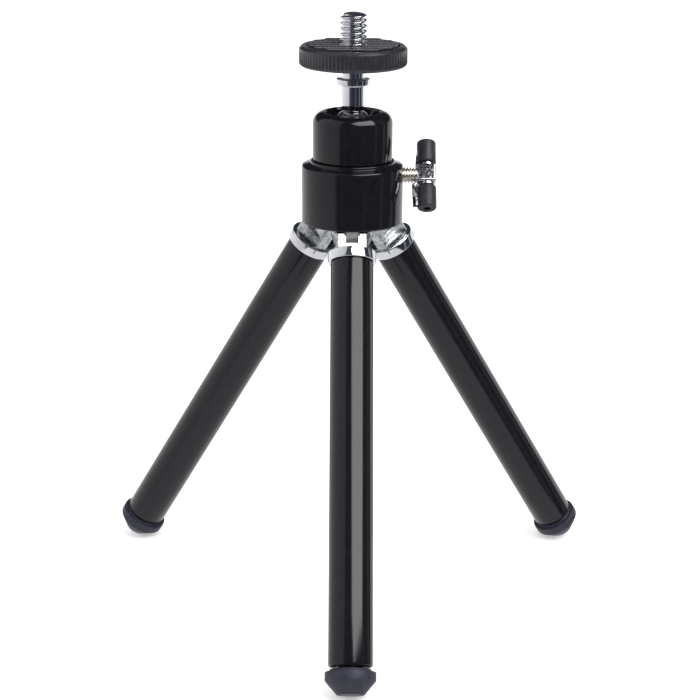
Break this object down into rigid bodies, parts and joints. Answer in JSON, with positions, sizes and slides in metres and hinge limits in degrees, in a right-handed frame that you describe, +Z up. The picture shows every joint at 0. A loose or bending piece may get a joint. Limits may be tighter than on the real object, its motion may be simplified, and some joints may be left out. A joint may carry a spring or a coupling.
{
  "type": "mini tripod",
  "caption": "Table-top mini tripod: telescopic folding legs, a ball head locked by a T-handle screw, and a knurled platform with a quarter-inch camera screw.",
  "frame": {"origin": "on the surface the tripod stands on, at the middle of its bounding box; the head's axis stands 15.6 mm towards +Y of it", "axes": "+Z up; the front leg points along -Y and the lock screw along +X"},
  "size_m": [0.1204, 0.1058, 0.1425],
  "materials": {
    "gloss_black_plastic": "glossy moulded black",
    "black_enamel": "gloss black enamel on drawn tube",
    "chrome": "bright chrome plate",
    "nickel": "nickel-plated thread, slightly warm",
    "steel": "plain bright steel",
    "black_plastic": "semi-matte black, knurled or smooth",
    "rubber_pad": "ribbed black pad",
    "foot_rubber": "dark blue-grey moulded rubber",
    "nylon": "natural nylon"
  },
  "bodies": {
    "head": {"lower_housing": "gloss_black_plastic", "socket_collar": "gloss_black_plastic", "leg_hub": "chrome", "hub_screw": "steel"},
    "clamp_plunger": {"clamp_plunger": "steel"},
    "ball_seat": {"ball_seat": "nylon"},
    "ball": {"ball": "chrome"},
    "platform": {"stud": "chrome", "platform_disc": "black_plastic", "platform_pad": "rubber_pad"},
    "lock_screw": {"lock_screw": "nickel"},
    "lock_handle": {"lock_handle": "chrome", "grip_upper": "black_plastic", "grip_lower": "black_plastic"},
    "leg_front": {"leg_fork_front": "chrome", "hinge_pin_front": "steel", "outer_tube_front": "black_enamel", "guide_bush_front": "black_plastic"},
    "leg_front_extension": {"inner_tube_front": "chrome", "friction_sleeve_front": "nylon", "foot_front": "foot_rubber"},
    "leg_right": {"leg_fork_right": "chrome", "hinge_pin_right": "steel", "outer_tube_right": "black_enamel", "guide_bush_right": "black_plastic"},
    "leg_right_extension": {"inner_tube_right": "chrome", "friction_sleeve_right": "nylon", "foot_right": "foot_rubber"},
    "leg_left": {"leg_fork_left": "chrome", "hinge_pin_left": "steel", "outer_tube_left": "black_enamel", "guide_bush_left": "black_plastic"},
    "leg_left_extension": {"inner_tube_left": "chrome", "friction_sleeve_left": "nylon", "foot_left": "foot_rubber"}
  },
  "joints": [
    {"name": "ball_pan", "type": "hinge", "parent": "head", "child": "ball_seat", "pos_m": [0, 0.01559, 0.11486], "axis": [0, 0, 1], "continuous": true},
    {"name": "ball_tilt", "type": "hinge", "parent": "ball_seat", "child": "ball", "pos_m": [0, 0.01559, 0.11486], "axis": [1, 0, 0], "range_deg": [-35, 35]},
    {"name": "platform_spin", "type": "hinge", "parent": "ball", "child": "platform", "pos_m": [0, 0.01559, 0.11486], "axis": [0, 0, 1], "continuous": true},
    {"name": "lock_screw_travel", "type": "slide", "parent": "head", "child": "lock_screw", "axis": [1, 0, 0], "range_m": [0, 0.000524]},
    {"name": "lock_handle_turn", "type": "hinge", "parent": "lock_screw", "child": "lock_handle", "pos_m": [0.0175, 0.01559, 0.10416], "axis": [1, 0, 0], "range_deg": [0, 270]},
    {"name": "plunger_drop", "type": "slide", "parent": "head", "child": "clamp_plunger", "axis": [0, 0, -1], "range_m": [0, 0.00053]},
    {"name": "leg_front_fold", "type": "hinge", "parent": "head", "child": "leg_front", "pos_m": [0, 0.00809, 0.09226], "axis": [1, 0, 0], "range_deg": [0, 32.5]},
    {"name": "leg_right_fold", "type": "hinge", "parent": "head", "child": "leg_right", "pos_m": [0.0065, 0.01934, 0.09226], "axis": [-0.5, 0.866, 0], "range_deg": [0, 32.5]},
    {"name": "leg_left_fold", "type": "hinge", "parent": "head", "child": "leg_left", "pos_m": [-0.0065, 0.01934, 0.09226], "axis": [-0.5, -0.866, 0], "range_deg": [0, 32.5]},
    {"name": "leg_front_extend", "type": "slide", "parent": "leg_front", "child": "leg_front_extension", "axis": [0, -0.5373, -0.8434], "range_m": [0, 0.06]},
    {"name": "leg_right_extend", "type": "slide", "parent": "leg_right", "child": "leg_right_extension", "axis": [0.4653, 0.2686, -0.8434], "range_m": [0, 0.06]},
    {"name": "leg_left_extend", "type": "slide", "parent": "leg_left", "child": "leg_left_extension", "axis": [-0.4653, 0.2686, -0.8434], "range_m": [0, 0.06]}
  ],
  "couplings": [
    {"joint": "lock_handle_turn", "follows": "lock_screw_travel", "rad_per_m": 8976},
    {"joint": "plunger_drop", "follows": "lock_screw_travel", "ratio": 1}
  ]
}
